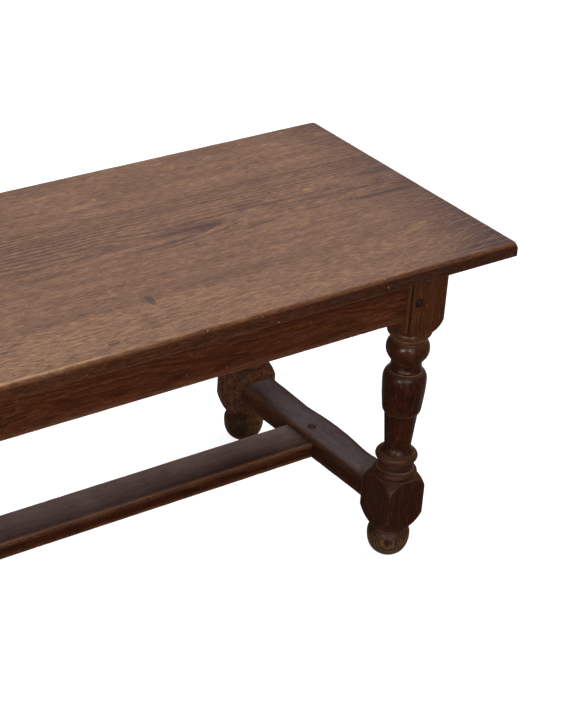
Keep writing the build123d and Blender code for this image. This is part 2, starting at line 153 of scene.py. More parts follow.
def blur(values, steps, reach):
    """Values evened out over a number of steps, keeping their ends."""
    offsets = np.arange(-reach, reach + 1)
    weights = np.exp(-0.5 * (offsets / steps) ** 2)
    return np.convolve(np.pad(values, reach, mode="edge"), weights / weights.sum(), mode="valid")


def stand_out(z, r, steps, reach):
    """How far each point of an outline stands out from the outline evened out."""
    along_z, along_r = np.gradient(z), np.gradient(r)
    out_z, out_r = z - blur(z, steps, reach), r - blur(r, steps, reach)
    return (out_r * along_z - out_z * along_r) / (np.hypot(along_z, along_r) + 1e-12)


def resample_outline(heights, radii):
    """Even points along the outline with softened edges, and how far each stands out broadly and closely."""
    run = np.concatenate([[0.0], np.cumsum(np.hypot(np.diff(heights), np.diff(radii)))])
    fine = np.arange(0.0, run[-1], 0.1 * MM)
    z = blur(np.interp(fine, run, heights), 2.6, 10)
    r = blur(np.interp(fine, run, radii), 2.6, 10)
    return z, r, stand_out(z, r, 17, 60), stand_out(z, r, 7, 25)


def pick_rows(z, r, rise):
    """Rows close together on mouldings and further apart on plain stretches."""
    keep = [0]
    gone = 0.0
    for i in range(1, len(z)):
        gone += math.hypot(z[i] - z[i - 1], r[i] - r[i - 1])
        if gone >= (0.7 * MM if abs(rise[i]) > 0.015 * MM else 2.0 * MM):
            keep.append(i)
            gone = 0.0
    keep.append(len(z) - 1)
    return np.array(keep)


def leg_columns():
    """Angles round the leg, closer together at the corners of the square."""
    share = np.linspace(-1.0, 1.0, 25)
    half = np.sign(share) * (1.0 - (1.0 - np.abs(share)) ** 1.5) * math.pi / 4.0
    quarter = half[:-1] + math.pi / 4.0
    angles = np.concatenate([quarter[12:] - math.pi / 4.0, quarter[:12] + math.pi / 4.0])
    return np.sort(np.concatenate([angles + q * math.pi / 2.0 for q in range(4)]))


def make_leg(node, seed):
    """A leg turned from its read profile, with softened blocks, worn rims and dust in its hollows."""
    axis_x, axis_y = node_middle(node)[:2]
    z, r, rise, crease = resample_outline(*read_profile(node, axis_x, axis_y))
    rows = pick_rows(z, r, rise)
    z, r, rise, crease = z[rows], r[rows], rise[rows], crease[rows]
    angle = leg_columns()
    cosine = np.abs(np.cos(angle)) + 1e-9
    sine = np.abs(np.sin(angle)) + 1e-9
    zz = z[:, None] + 0.0 * angle[None, :]
    around = angle[None, :] + 0.0 * zz
    turned = r[:, None] + 0.0 * zz
    nibble = wander(np.cos(around) * 0.2, np.sin(around) * 0.2, zz, 0.011, seed)
    ease = (0.4 + 0.9 * np.clip(nibble, 0.0, 1.0)) * MM
    flat = 0.12 * MM * wander(np.cos(around) * 0.03, np.sin(around) * 0.03, zz, 0.02, seed + 5)
    square = soft_min(BLOCK_HALF / cosine + 0.0 * zz, BLOCK_HALF / sine + 0.0 * zz, ease) - np.abs(flat)
    dent = np.clip(wander(np.cos(around) * 0.03, np.sin(around) * 0.03, zz, 0.007, seed + 9) - 0.45, 0.0, 1.0)
    radius = soft_min(turned, square, 0.5 * MM) - dent * 0.6 * MM
    x = axis_x + radius * np.cos(around)
    y = axis_y + radius * np.sin(around)
    count = len(angle)
    faces = grid_faces(len(z), count, True)
    faces.append(list(range(count))[::-1])
    faces.append(list(range((len(z) - 1) * count, len(z) * count)))
    block = smooth_step((turned - square) / (0.5 * MM))
    meet = np.clip(1.0 - np.abs(turned - square) / LEG_EDGE, 0.0, 1.0)
    corner = np.clip(1.0 - np.abs(BLOCK_HALF / cosine - BLOCK_HALF / sine) / LEG_EDGE, 0.0, 1.0)
    edge = corner[None, :] * block
    patchy = smooth_step(0.55 + 0.9 * wander(x, y, zz, 0.02, seed + 2))
    rims = 0.45 * smooth_step(rise[:, None] / (0.3 * MM)) * (1.0 - block)
    worn = (rims + 0.3 * meet + 1.0 * edge) * (0.25 + 0.75 * patchy)
    dust_and_roll_shade = smooth_step((-crease[:, None] / MM - 0.04) / 0.08) * (1.0 - block)
    pith_x, pith_y = LEG_PITHS[seed]
    bend = 2.2 * MM * wander(x, y, zz, 0.11, seed + 20) + 0.8 * MM * wander(x, y, zz, 0.014, seed + 21)
    lean = 0.03 * (zz - 0.2)
    away = np.hypot(x - axis_x - pith_x * MM + lean, y - axis_y - pith_y * MM) + bend
    tone = 0.0 * zz

    # The photograph shows a dark and a rubbed upright edge on the near leg, the rubbed strip partly a painted
    # highlight, and on the far one scuffs, partly painted highlights, and cracks
    if node == "leg_front_right":
        high_up = smooth_step((zz - 0.3) / (6.0 * MM))
        in_x = (x - axis_x + BLOCK_HALF) / MM
        in_y = (y - axis_y + BLOCK_HALF) / MM
        tone = 1.2 * bump(in_x, 1.6, 2.0) * (in_y < 1.0) * high_up * (0.75 + 0.25 * patchy)
        # A pale strip on the left face just behind the front corner, in the wear map: partly rubbing, partly a painted
        # highlight of the lit face
        worn = worn * (1.0 - np.clip(tone, 0.0, 1.0)) + 0.6 * bump(in_y, 3.0, 2.5) * (in_x < 0.5) * high_up
    if node == "leg_back_right":
        # Pale scuffs on the blocks, partly painted highlights, and lighter patches on the lower block
        worn = worn + 0.7 * smooth_step(0.5 + 1.4 * wander(x, y, zz * 0.8, 0.004, seed + 30)) * block
        tone = -1.0 * smooth_step(0.6 + 1.2 * wander(x, y, zz * 0.6, 0.009, seed + 31)) * block * (zz < 0.2)
        coarse = bump(wander(x, y, zz, 0.013, seed + 32), 0.0, 0.15)
        fine = bump(wander(x, y, zz, 0.009, seed + 33), 0.1, 0.15)
        on_foot = smooth_step((0.055 - zz) / 0.008) * (zz > 0.018) * (y < axis_y) * (x > axis_x - 0.012)
        worn = worn + 2.0 * (coarse + fine) * on_foot
    maps = {
        "worn": np.clip(worn, 0.0, 1.0).ravel(), "dust_and_roll_shade": dust_and_roll_shade.ravel(), "figure": (away / LEG_RING).ravel(),
        "bold": 1.0, "tone": tone.ravel(),
    }
    points = np.stack([x, y, zz], -1).reshape(-1, 3)
    return make_piece("dressed_" + node, points, faces, **maps)


# Rails: aprons and stretchers

RAIL_STEP = 5.0 * MM
RAIL_RING = 2.4 * MM
JOINT_LINE = 1.1 * MM

# Sections are drawn in millimetres, with flats divided at most this far apart
FLAT_STEP = 5.0
APRON_THICK = 22.0


def corner_points(u, v, toward_u, toward_v, size):
    """Points round a rectangle's eased corner, from the upright side to the level one."""
    turn = np.linspace(0.0, math.pi / 2.0, 5)
    return [
        (u - toward_u * size * (1.0 - math.cos(t)), v - toward_v * size * (1.0 - math.sin(t)), 1.0, 0.0)
        for t in turn
    ]


def fill_outline(outline):
    """The outline with long flats divided, so that they can take wear."""
    filled = []
    for i, start in enumerate(outline):
        end = outline[(i + 1) % len(outline)]
        count = max(1, int(math.hypot(end[0] - start[0], end[1] - start[1]) / FLAT_STEP))
        for k in range(count):
            share = k / count
            point = [a + (b - a) * share for a, b in zip(start, end)]
            if 0 < k:
                point[2] *= 0.4 * max(0.0, 1.0 - min(share, 1.0 - share) * count)
                point[3] = 0.0
            filled.append(tuple(point))
    return filled


def block_outline(width, depth, eases):
    """Section of a plain rail: eases are the outer low, outer high, inner high and inner low corners."""
    u, v = width / 2.0, depth / 2.0
    low_out, high_out, high_in, low_in = eases
    outline = corner_points(u, -v, 1, -1, low_out)[::-1]
    outline += corner_points(u, v, 1, 1, high_out)
    outline += corner_points(-u, v, -1, 1, high_in)[::-1]
    outline += corner_points(-u, -v, -1, -1, low_in)
    return fill_outline(outline)


def apron_outline(thick, depth):
    """Section of an apron, with the bead worked along the lower edge of its show face."""
    u, v = thick / 2.0, depth / 2.0
    bead = [
        (2.5, 0.0, 0.2, 0.0), (1.5, 0.25, 0.6, 0.0), (0.7, 0.9, 0.9, 0.0), (0.35, 1.8, 1.0, 0.0),
        (0.42, 2.7, 0.9, 0.0), (0.8, 3.6, 0.5, 0.0), (1.35, 4.4, 0.0, 0.0),
    ]
    quirk = [(1.6, 5.0, 0.0, 1.0), (0.9, 5.7, 0.0, 0.7), (0.25, 6.35, 0.5, 0.2), (0.0, 7.0, 0.4, 0.0)]
    outline = [(u - a, -v + b, worn, groove) for a, b, worn, groove in bead + quirk]
    outline += [(u, v - 0.4, 0.0, 0.3), (u - 0.4, v, 0.0, 0.3), (-u + 0.5, v, 0.0, 0.0), (-u, v - 0.5, 0.3, 0.0)]
    outline += [(-u, -v + 1.0, 0.6, 0.0), (-u + 0.3, -v + 0.3, 1.0, 0.0), (-u + 1.0, -v, 0.6, 0.0)]
    return fill_outline(outline)


def make_rail(node, outline, along_y, outward, span, seed, rubbed, sway=None, shade=None, clouds=()):
    """A rail with the given section, with nibbled edges and slightly uneven faces."""
    middle = node_middle(node)
    start, end = span
    count = int(round((end - start) / RAIL_STEP)) + 1
    s = np.sort(np.append(np.linspace(start, end, count), (start + JOINT_LINE, end - JOINT_LINE)))[:, None]
    u, v, edge, groove = (np.array(column)[None, :] for column in zip(*outline))
    u, v = u * MM, v * MM
    nibble = 0.5 + 0.5 * wander(s, u * 3.0, v * 3.0 + 0.1, 0.016, seed)
    chip = np.clip(wander(s, u, v, 0.006, seed + 1) - 0.35, 0.0, 1.0)
    inward = edge * (0.35 * nibble + 1.6 * chip) * MM
    uneven = 0.22 * MM * np.abs(wander(s, u, v, 0.035, seed + 2))
    size = np.hypot(u, v) + 1e-9
    shift_u = -np.sign(u) * (uneven + 0.7 * inward)
    shift_v = -v / size * inward - np.sign(v) * (np.abs(v) > 0.9 * np.abs(v).max()) * uneven * 0.6
    across = u + shift_u
    if sway is not None:
        across = across + sway(s) * np.clip(u / u.max(), 0.0, 1.0)
    upright = v + shift_v + 0.0 * s
    across = across + 0.0 * s
    if along_y:
        x, y = middle[0] + outward * across, middle[1] + s + 0.0 * across
    else:
        x, y = middle[0] + s + 0.0 * across, middle[1] + outward * across
    z = middle[2] + upright
    rows, columns = across.shape
    faces = grid_faces(rows, columns, True)
    faces.append(list(range(columns))[::-1])
    faces.append(list(range((rows - 1) * columns, rows * columns)))
    spread = 0.5 + 0.5 * wander(s, u, v, 0.03, seed + 3)
    worn = np.clip(edge * (0.3 + 0.9 * spread + chip), 0.0, 1.0) * rubbed
    bend = 2.5 * MM * wander(s * 0.35, u, v, 0.04, seed + 4)
    bend = bend + 0.5 * MM * wander(s * 0.5, u * 2, v * 2, 0.015, seed + 5)
    away = np.hypot(across + 0.055 + 0.02 * s, upright - 0.015 * math.sin(seed)) + bend
    tone = 0.0 * worn
    # The tone map on the stretchers' upper faces: painted sheen and shade across the face, and painted sheen and a
    # painted shadow in patches along it
    if shade is not None:
        tone = tone + np.interp(u / u.max(), *shade)
        for place, half, share, line, reach in clouds:
            tone = tone + share * bump(s, place * MM, half * MM) * bump(u / u.max(), line, reach)
        tone = np.minimum(tone, 0.85) * (v > np.where(u > 0.0, 0.85, 0.55) * v.max())
        at_joint = np.abs(s - (start + end) / 2.0) > (end - start) / 2.0 - 0.5 * JOINT_LINE
        worn = np.where(at_joint & (v > 0.85 * v.max()), 1.0, worn)
    dust_and_roll_shade = np.broadcast_to(groove, worn.shape)
    maps = {
        "worn": worn.ravel(), "dust_and_roll_shade": dust_and_roll_shade.ravel(), "figure": (away / RAIL_RING).ravel(),
        "bold": 1.0, "tone": tone.ravel(),
    }
    return make_piece("dressed_" + node, np.stack([x, y, z], -1).reshape(-1, 3), faces, **maps)


# Boards of the top

FRONT_CORNER = 4.0 * MM
BACK_CORNER = 21.0 * MM
TOP_STEP = 4.5 * MM
LONG_EDGE = 6.0 * MM
SEAM_EDGE = 0.6 * MM
SEAM_DEPTH = 0.12 * MM
END_RUN = 10.5 * MM
END_FALL = 18.0 * MM

# Middle line of the flame figure along the top, and its dark lobes: x, y, half length, half width, share
HEART_X = (-540.0, -200.0, -67.0, 37.0, 62.0, 141.0, 200.0, 245.0, 330.0, 540.0)
HEART_Y = (0.0, -4.0, 2.0, 3.0, 10.0, -3.0, 4.0, 12.0, 16.0, 16.0)
LOBES = (
    (185.0, 11.0, 52.0, 11.0, 0.8), (128.0, -14.0, 42.0, 8.0, 0.7), (60.0, 14.0, 16.0, 6.0, 0.7),
    (288.0, 36.0, 22.0, 8.0, 0.75), (322.0, 21.0, 14.0, 6.0, 0.7), (274.0, -21.0, 30.0, 5.0, 0.55),
    (368.0, -9.0, 12.0, 5.0, 0.6), (-42.0, -18.0, 34.0, 5.0, 0.5), (20.0, 3.0, 24.0, 5.0, 0.45),
    (420.0, 28.0, 26.0, 5.0, 0.4), (505.0, 42.0, 26.0, 6.0, 0.4), (470.0, -18.0, 60.0, 3.5, 0.6),
    (400.0, 14.0, 60.0, 3.0, 0.55), (-60.0, 38.0, 50.0, 4.0, 0.4),
)


def plank_lines(low, high, edge_low, edge_high, step):
    """Grid lines across a plank, closer together near its eased edges."""
    near = np.array([0.0, 0.02, 0.08, 0.18, 0.32, 0.5, 0.72, 1.0, 1.5])
    first = low + near * edge_low
    last = high - near[::-1] * edge_high
    count = max(2, int(round((last[0] - first[-1]) / step)) + 1)
    return np.concatenate([first, np.linspace(first[-1], last[0], count)[1:-1], last])


def rim(columns, rows):
    """Indices round the edge of a grid."""
    loop = list(range(columns))
    loop += [row * columns + columns - 1 for row in range(1, rows)]
    loop += [(rows - 1) * columns + column for column in range(columns - 2, -1, -1)]
    loop += [row * columns for row in range(rows - 2, 0, -1)]
    return loop


def top_figure(x, y, board):
    """Growth rings as they show on the top, in ring widths, their boldness and the broad tones."""
    x, y = x / MM, y / MM
    zero = 0.0 * x
    slow = wander(x * 0.3, y, zero, 38.0, 31)
    quick = wander(x * 0.45, y, zero, 13.0, 32)
    if board == "top_board_middle":
        near = np.exp(-((y - 8.0) / 30.0) ** 2)
        heart = np.interp(x, HEART_X, HEART_Y)
        uneven = wander(x * 0.12, y, zero, 17.0, 33)
        v = y - 8.0 - (heart - 8.0) * near + (1.8 * slow + 1.5 * quick) * (0.5 + near) + 2.6 * uneven
        h = 31.0 + np.where(x < 245.0, 0.05, 0.02) * (x - 245.0)
        figure = np.hypot(v, h) / 6.2
        flame = smooth_step((y + 30.0) / 20.0)
        bold = 0.1 + (1.0 - 0.5 * smooth_step((x - 250.0) / 80.0) * near) * flame * (0.7 + 0.5 * slow + 0.8 * uneven)
        tone = 0.0
        for a, b, wide, high, share in LOBES:
            away = np.hypot((x - a) / wide, (y - b - 2.5 * quick) / high)
            tone = np.maximum(tone, 0.6 * share * smooth_step((1.35 - away) / 0.6))
        tone += 0.18 * bump(y, 70.0, 26.0) * (0.8 + 0.4 * quick)
        tone += 0.3 * bump(y, -112.0, 18.0) * bump(x, 170.0, 190.0)
        tone += 0.25 * bump(y, -75.0, 12.0) * bump(x, 200.0, 120.0) * (1.0 + quick)
        tone += 0.3 * smooth_step((x - 290.0) / 140.0) * smooth_step((20.0 - y) / 60.0)
        tone += 0.14 * bump(y, -39.0, 30.0) * bump(x, 214.0, 50.0)
    elif board == "top_board_front":
        v = y + 420.0 + 3.0 * slow + 1.2 * quick
        figure = v / 4.6
        bold = 0.16 + 0.08 * slow
        tone = -0.4 * bump(y, -160.0, 40.0) * smooth_step((150.0 - x) / 300.0)
        tone += 0.25 * slow - 0.15 * bump(x, 150.0, 120.0)
        tone += 0.35 * smooth_step((x - 410.0) / 80.0) * smooth_step((-y - 80.0) / 50.0)
        tone += 0.5 * smooth_step((x - 290.0) / 180.0) * smooth_step((-y - 165.0) / 40.0)
        tone -= 0.3 * smooth_step((20.0 - x) / 150.0) * bump(y, -200.0, 30.0)
    else:
        v = y - 420.0 + 4.0 * slow + 1.4 * quick
        figure = v / 5.4
        bold = 0.12 + 0.1 * slow
        tone = 0.12 + 0.3 * slow - 0.2 * bump(y, 175.0, 12.0) * bump(x, 60.0, 60.0)
        tone += 0.16 * bump(x, 344.0, 45.0)
    # Darker towards both ends; the narrow part over the last 20 mm is painted shade where the end rolls over
    ends = 0.3 * smooth_step((np.abs(x) - 518.0) / 20.0) + 0.65 * smooth_step((np.abs(x) - 420.0) / 115.0)
    return figure, np.clip(bold, 0.0, 1.0), np.clip(tone + 0.9 * ends, -1.0, 1.4)


def make_top_board(node, seed):
    """One board of the top: rounded, worn outer edges, a painted glint on the front arris and painted shade over the
    rolled edges, and fine seams where it is glued.
    """
    whole_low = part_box("top_board_front")[0]
    whole_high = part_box("top_board_back")[1]
    low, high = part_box(node)
    is_front = abs(low[1] - whole_low[1]) < 1e-4
    is_back = abs(high[1] - whole_high[1]) < 1e-4
    xs = plank_lines(low[0], high[0], END_RUN, END_RUN, TOP_STEP)
    front, back = (LONG_EDGE if at_edge else SEAM_EDGE for at_edge in (is_front, is_back))
    ys = plank_lines(low[1], high[1], front, back, TOP_STEP)
    x, y = np.meshgrid(xs, ys)
    half_x, half_y = whole_high[0], whole_high[1]
    corner = np.where(y > 0.0, BACK_CORNER, FRONT_CORNER)
    over_x = np.abs(x) - (half_x - corner)
    over_y = np.abs(y) - (half_y - corner)
    in_corner = (over_x > 0) & (over_y > 0)
    reach = np.maximum(over_x, over_y)
    spread = np.where(in_corner, np.hypot(over_x, over_y), 1.0)
    inset = corner - reach
    px = np.where(in_corner, np.sign(x) * (half_x - corner + over_x * reach / spread), x)
    py = np.where(in_corner, np.sign(y) * (half_y - corner + over_y * reach / spread), y)
    broad = wander(px, py, 0.0, 0.05, seed)
    fine = wander(px, py, 0.0, 0.011, seed + 3)
    upper = (4.7 + 0.9 * broad + 0.7 * fine) * np.where(py > 0.0, 0.55, 1.0) * MM
    lower = (0.4 + 0.2 * wander(px, py, 0.1, 0.04, seed)) * MM
    inset_y = half_y - np.abs(py)

    def drop(run, fall, gap):
        share = np.clip(1.0 - gap / run, 0.0, 1.0)
        return fall * (1.0 - np.sqrt(1.0 - share * share))

    at_seam = (np.isclose(y, low[1]) & (not is_front)) | (np.isclose(y, high[1]) & (not is_back))
    hollow = 0.35 * MM * np.abs(wander(px, py, 0.3, 0.06, seed + 6))
    hollow += 0.1 * MM * np.abs(wander(px, py, 0.3, 0.015, seed + 7))
    rounding = drop(upper, upper, inset_y) + drop(END_RUN, END_FALL, half_x - np.abs(px))
    rounding = np.minimum(rounding, END_FALL + 0.5 * MM)
    z_top = high[2] - rounding - at_seam * SEAM_DEPTH - hollow * smooth_step(inset / (8.0 * MM))
    z_low = low[2] + drop(lower, lower, inset) + at_seam * SEAM_DEPTH
    rows, columns = x.shape
    size = rows * columns
    faces = grid_faces(rows, columns, False)
    faces += [[i + size for i in face[::-1]] for face in faces]
    points = np.concatenate([np.stack([px, py, z], -1).reshape(-1, 3) for z in (z_top, z_low)])
    loop = rim(columns, rows)
    rings = [loop]
    for level in (0.07, 0.2, 0.4, 0.6, 0.8):
        start = len(points)
        ring = points[loop] * (1 - level) + points[[i + size for i in loop]] * level
        dent = 0.25 * MM * np.clip(wander(ring[:, 0], ring[:, 1], ring[:, 2], 0.008, seed + 8), 0.0, 1.0)
        ring[:, 0] -= np.sign(ring[:, 0]) * dent * (np.abs(ring[:, 0]) > half_x - 2 * MM)
        ring[:, 1] -= np.sign(ring[:, 1]) * dent * (np.abs(ring[:, 1]) > half_y - 2 * MM)
        points = np.concatenate([points, ring])
        rings.append(list(range(start, start + len(loop))))
    rings.append([i + size for i in loop])
    for above, below in zip(rings[:-1], rings[1:]):
        for i in range(len(loop)):
            j = (i + 1) % len(loop)
            faces.append([above[i], below[i], below[j], above[j]])
    rub = np.clip(0.55 + 0.8 * broad + 0.5 * fine, 0.0, 1.2)
    golden = 0.25 + 0.75 * smooth_step((0.1 - px) / 0.3)
    # A painted glint along the front arris at the left, added to the rubbed band
    shine = 1.1 * bump(inset, 2.6 * MM, 0.8 * MM) * smooth_step((-0.04 - px) / 0.06) * (py < 0.0)
    worn_top = bump(inset, 1.9 * MM, 1.6 * MM) * rub * golden + shine
    worn_low = bump(inset, 0.0, 1.0 * MM) * 0.08 * rub
    worn = np.concatenate([worn_top.ravel(), worn_low.ravel(), np.zeros(len(points) - 2 * size)])
    figure, bold, tone = top_figure(points[:, 0], points[:, 1], node)
    depth = (high[2] - points[:, 2]) / MM
    # The rolled edge below the arris, painted darker as it turns down: painted shade together with the edge's own
    # darker colour
    roll = smooth_step((depth - 0.2) / 1.8) * (1.0 - smooth_step((depth - 5.4) / 1.4))
    at_end = half_x - np.abs(points[:, 0]) < half_y - np.abs(points[:, 1])
    roll = roll * np.where(at_end, 0.55, 1.0)
    maps = {"dust_and_roll_shade": roll, "figure": figure + depth * 0.3, "bold": bold, "tone": tone}
    return make_piece("dressed_" + node, points, faces, worn=np.clip(worn, 0.0, 1.0), **maps)


# Materials

def paint(red, green, blue):
    """A colour written as screen values from 0 to 255, as the shader takes it."""
    def linear(value):
        value /= 255.0
        return value / 12.92 if value <= 0.04045 else ((value + 0.055) / 1.055) ** 2.4
    return (linear(red), linear(green), linear(blue), 1.0)


class Recipe:
    """Shorthand for building a material, or the world, out of nodes."""

    def __init__(self, owner, shader="Principled BSDF"):
        owner.use_nodes = True
        self.owner = owner
        self.tree = owner.node_tree
        self.shader = self.tree.nodes[shader].inputs

    def put(self, socket, value):
        if isinstance(value, bpy.types.NodeSocket):
            self.tree.links.new(value, socket)
        else:
            socket.default_value = value

    def add(self, kind, values, out=0, **settings):
        node = self.tree.nodes.new(kind)
        for key, value in settings.items():
            setattr(node, key, value)
        for key, value in values.items():
            self.put(node.inputs[key], value)
        return node.outputs[out]

    def place(self):
        return self.add("ShaderNodeTexCoord", {}, out="Object")

    def facing(self):
        return self.add("ShaderNodeNewGeometry", {}, out="Normal")

    def map(self, label):
        return self.add("ShaderNodeAttribute", {}, out="Fac", attribute_name=label)

    def math(self, operation, a, b=0.0, clamp=False):
        return self.add("ShaderNodeMath", {0: a, 1: b}, operation=operation, use_clamp=clamp)

    def times(self, a, b, clamp=False):
        return self.math("MULTIPLY", a, b, clamp)

    def plus(self, a, b):
        return self.math("ADD", a, b)

    def minus(self, a, b):
        return self.math("SUBTRACT", a, b)

    def vector(self, operation, a, b):
        return self.add("ShaderNodeVectorMath", {0: a, 1: b}, operation=operation)

    def length(self, vector):
        return self.add("ShaderNodeVectorMath", {0: vector}, out="Value", operation="LENGTH")

    def part(self, vector, axis):
        return self.add("ShaderNodeSeparateXYZ", {0: vector}, out=axis)

    def noise(self, vector, scale, detail=2.0, rough=0.5):
        values = {"Vector": vector, "Scale": scale, "Detail": detail, "Roughness": rough}
        return self.add("ShaderNodeTexNoise", values)

    def cells(self, vector, scale):
        return self.add("ShaderNodeTexVoronoi", {"Vector": vector, "Scale": scale}, out="Distance")

    def band(self, value, low, high, to_low=0.0, to_high=1.0, curve="SMOOTHSTEP"):
        """From to_low to to_high while the value goes from low to high."""
        values = {"Value": value, "From Min": low, "From Max": high, "To Min": to_low, "To Max": to_high}
        return self.add("ShaderNodeMapRange", values, interpolation_type=curve)

    def mix(self, share, a, b, blend="MIX"):
        """Colour a with a share of colour b; 6, 7 and 2 are the node's sockets for colours."""
        return self.add("ShaderNodeMix", {"Factor": share, 6: a, 7: b}, out=2, data_type="RGBA", blend_type=blend)

    def relief(self, strength, distance, height):
        return self.add("ShaderNodeBump", {"Strength": strength, "Distance": distance, "Height": height}, out="Normal")

    def mark(self, place, x, y, half_long, half_wide, degrees, strength):
        """A soft-edged oval at a place on the top, in millimetres."""
        values = {
            "Vector": place, "Location": (x * MM, y * MM, 0.0), "Rotation": (0.0, 0.0, math.radians(degrees)),
            "Scale": (half_long * MM, half_wide * MM, 1000.0),
        }
        local = self.add("ShaderNodeMapping", values, vector_type="TEXTURE")
        return self.band(self.length(local), 1.25, 0.7, 0.0, strength)

    def strokes(self, place, x, y, half_long, half_wide, degrees, strength):
        """Thin strokes that run one way within an oval on the top."""
        patch = self.mark(place, x, y, half_long, half_wide, 0.0, strength)
        values = {"Vector": place, "Rotation": (0.0, 0.0, math.radians(degrees)), "Scale": (14.0, 1.0, 1.0)}
        field = self.noise(self.add("ShaderNodeMapping", values, vector_type="TEXTURE"), 400.0, 2.0, 0.5)
        return self.times(self.band(field, 0.58, 0.66), patch)

    def strongest(self, draw, place, rows):
        """The strongest of a table's marks or strokes at each place."""
        most = 0.0
        for row in rows:
            most = self.math("MAXIMUM", most, draw(place, *row))
        return most


# What the frame's colours are multiplied by low down and high up, for each way the grain runs
GAINS = {
    "X": ((0.66, 0.66, 0.62, 1.0), (1.1, 1.1, 1.0, 1.0)),
    "Y": ((0.6, 0.6, 0.6, 1.0), (1.1, 1.1, 1.0, 1.0)),
    "Z": ((1.0, 1.0, 1.0, 1.0), (1.8, 2.2, 1.8, 1.0)),
}

# The top's rolled edge, light and dark: its darker edge colour and painted shade as it turns down; and what its sides
# are multiplied by from left to right
ROLL_TONES = (paint(100, 62, 38), paint(68, 38, 22))
SIDE_GAIN = ((1.2, 1.2, 1.1, 1.0), (0.8, 0.78, 0.75, 1.0))

# Marks on the top: x, y, half length, half width, turn and strength
DARK_MARKS = (
    (40, -127, 12, 5, 84, 0.75), (43, -118, 5, 3, 60, 0.4), (216, -180, 4, 3.2, 20, 0.55),
    (-187, -203, 2.2, 2, 0, 0.8), (28, -36, 3, 1.6, 60, 0.75), (339, 51, 3, 2, 30, 0.75),
    (256, 40, 2.5, 1.4, 0, 0.7), (502, 193, 2.4, 2, 0, 0.7), (-52, -194, 9, 6, 20, 0.4),
    (291, 165, 9, 5, 30, 0.35), (355, 125, 14, 0.9, 62, 0.45), (13, -117, 5, 4, 0, 0.3),
    (333, -80, 34, 0.7, 58, 0.25), (394, 130, 36, 0.7, 76, 0.4), (404, -30, 4, 2, 60, 0.45),
    (380, -110, 8, 4, 10, 0.3), (505, -75, 3, 2, 0, 0.5), (312, -95, 30, 0.8, 40, 0.2),
    (440, -214.5, 3.6, 1.3, 0, 1.0), (500, 20, 14, 7, 0, 0.35), (365, 13, 54, 1.6, -2, 0.7),
    (480, 8, 52, 1.5, -4, 0.7), (466, -18, 64, 1.8, -2, 0.8), (324, -2, 19, 1.4, 6, 0.6),
    (279, -19, 31, 2.2, 6, 0.6), (516, -2, 14, 1.8, 0, 0.7), (490, 44, 40, 1.6, -5, 0.6),
    (-30, -22, 70, 1.4, 5, 0.4), (80, -14, 62, 1.4, 4, 0.4), (20, 3, 30, 1.4, 12, 0.5),
    (420, 30, 24, 3, 0, 0.4), (200, 29, 40, 1.6, -6, 0.5),
)
LIGHT_MARKS = (
    (-70, -175, 5, 3.5, 0, 0.5), (126, 141, 3.6, 3.2, 0, 0.7), (390, 37, 6.5, 3.6, 12, 0.65),
    (246, 163, 5, 4, 0, 0.35), (333, 184, 4.5, 4, 0, 0.35), (38, 12, 35, 0.7, 13, 0.7),
    (100, 128, 24, 4, 5, 0.4), (340, -205, 6, 2, 5, 0.4), (250, -196, 5, 3, 0, 0.25),
    (446, -172, 5, 2, 40, 0.35), (452, -120, 22, 6, 20, 0.25), (60, 175, 44, 1.6, 2, 0.4),
    (96, 132, 6, 3, 20, 0.35), (470, 205, 5, 3, 0, 0.3), (165, 143, 3, 5, 0, 0.25),
)

# Patches of pale rays on the top: x, y, half length, half width, turn of the strokes and strength
RAY_PATCHES = (
    (322, -164, 105, 42, -20, 0.65), (470, -158, 75, 50, 17, 0.55), (376, -84, 75, 34, 24, 0.55),
    (470, -66, 70, 14, 1, 0.7), (10, -172, 190, 36, 0, 0.8), (60, 165, 110, 30, 1, 0.5),
)

# Where the dark ring round a peg head starts to fade and is full, from the peg's middle
PEG_RING = (6.2 * MM, 5.3 * MM)


def peg_spot(node, face_x, face_y):
    """Where a set's pegs come through the outer faces, for one quarter of the table."""
    low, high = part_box(node)
    radius = (high[2] - low[2]) / 2.0
    height = (low[2] + high[2]) / 2.0
    if high[0] - low[0] > high[1] - low[1]:
        return high[0] - radius, face_y, height
    return face_x, high[1] - radius, height


def leg_peg_spots():
    """The pegs in a leg's outer faces, each with weights that shorten distances along its axis."""
    face_x, face_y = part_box("leg_back_right")[1][:2]
    along_x, along_y = (0.2, 1.0, 1.0), (1.0, 0.2, 1.0)
    sets = (("apron_pegs_back", along_y), ("apron_pegs_right", along_x), ("stretcher_pegs_right", along_x))
    return [(peg_spot(node, face_x, face_y), weights) for node, weights in sets]


def stretcher_peg_spots():
    """The pegs on top of the end stretchers."""
    low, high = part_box("centre_stretcher_pegs")
    return [((high[0] - (high[1] - low[1]) / 2.0, 0.0, high[2]), (1.0, 1.0, 0.2))]


def peg_gap(r, place, spots):
    """A dark ring round each peg head."""
    mirrored = r.add("ShaderNodeVectorMath", {0: place}, operation="ABSOLUTE")
    nearest = 1.0
    for spot, weights in spots:
        offset = r.vector("MULTIPLY", r.vector("SUBTRACT", mirrored, spot), weights)
        nearest = r.math("MINIMUM", nearest, r.length(offset))
    return r.band(nearest, *PEG_RING)


def along_grain(r, place, grain, share):
    """Places drawn together along the grain, so that a pattern laid on them runs long that way."""
    return r.vector("MULTIPLY", place, tuple(share if axis == grain else 1.0 for axis in "XYZ"))


def shake(r, place, noise_field, reach):
    """Places moved about by a noise field, in metres along x, y and z."""
    offset = r.vector("SUBTRACT", noise_field, (0.5, 0.5, 0.5))
    return r.vector("ADD", place, r.vector("MULTIPLY", offset, reach))


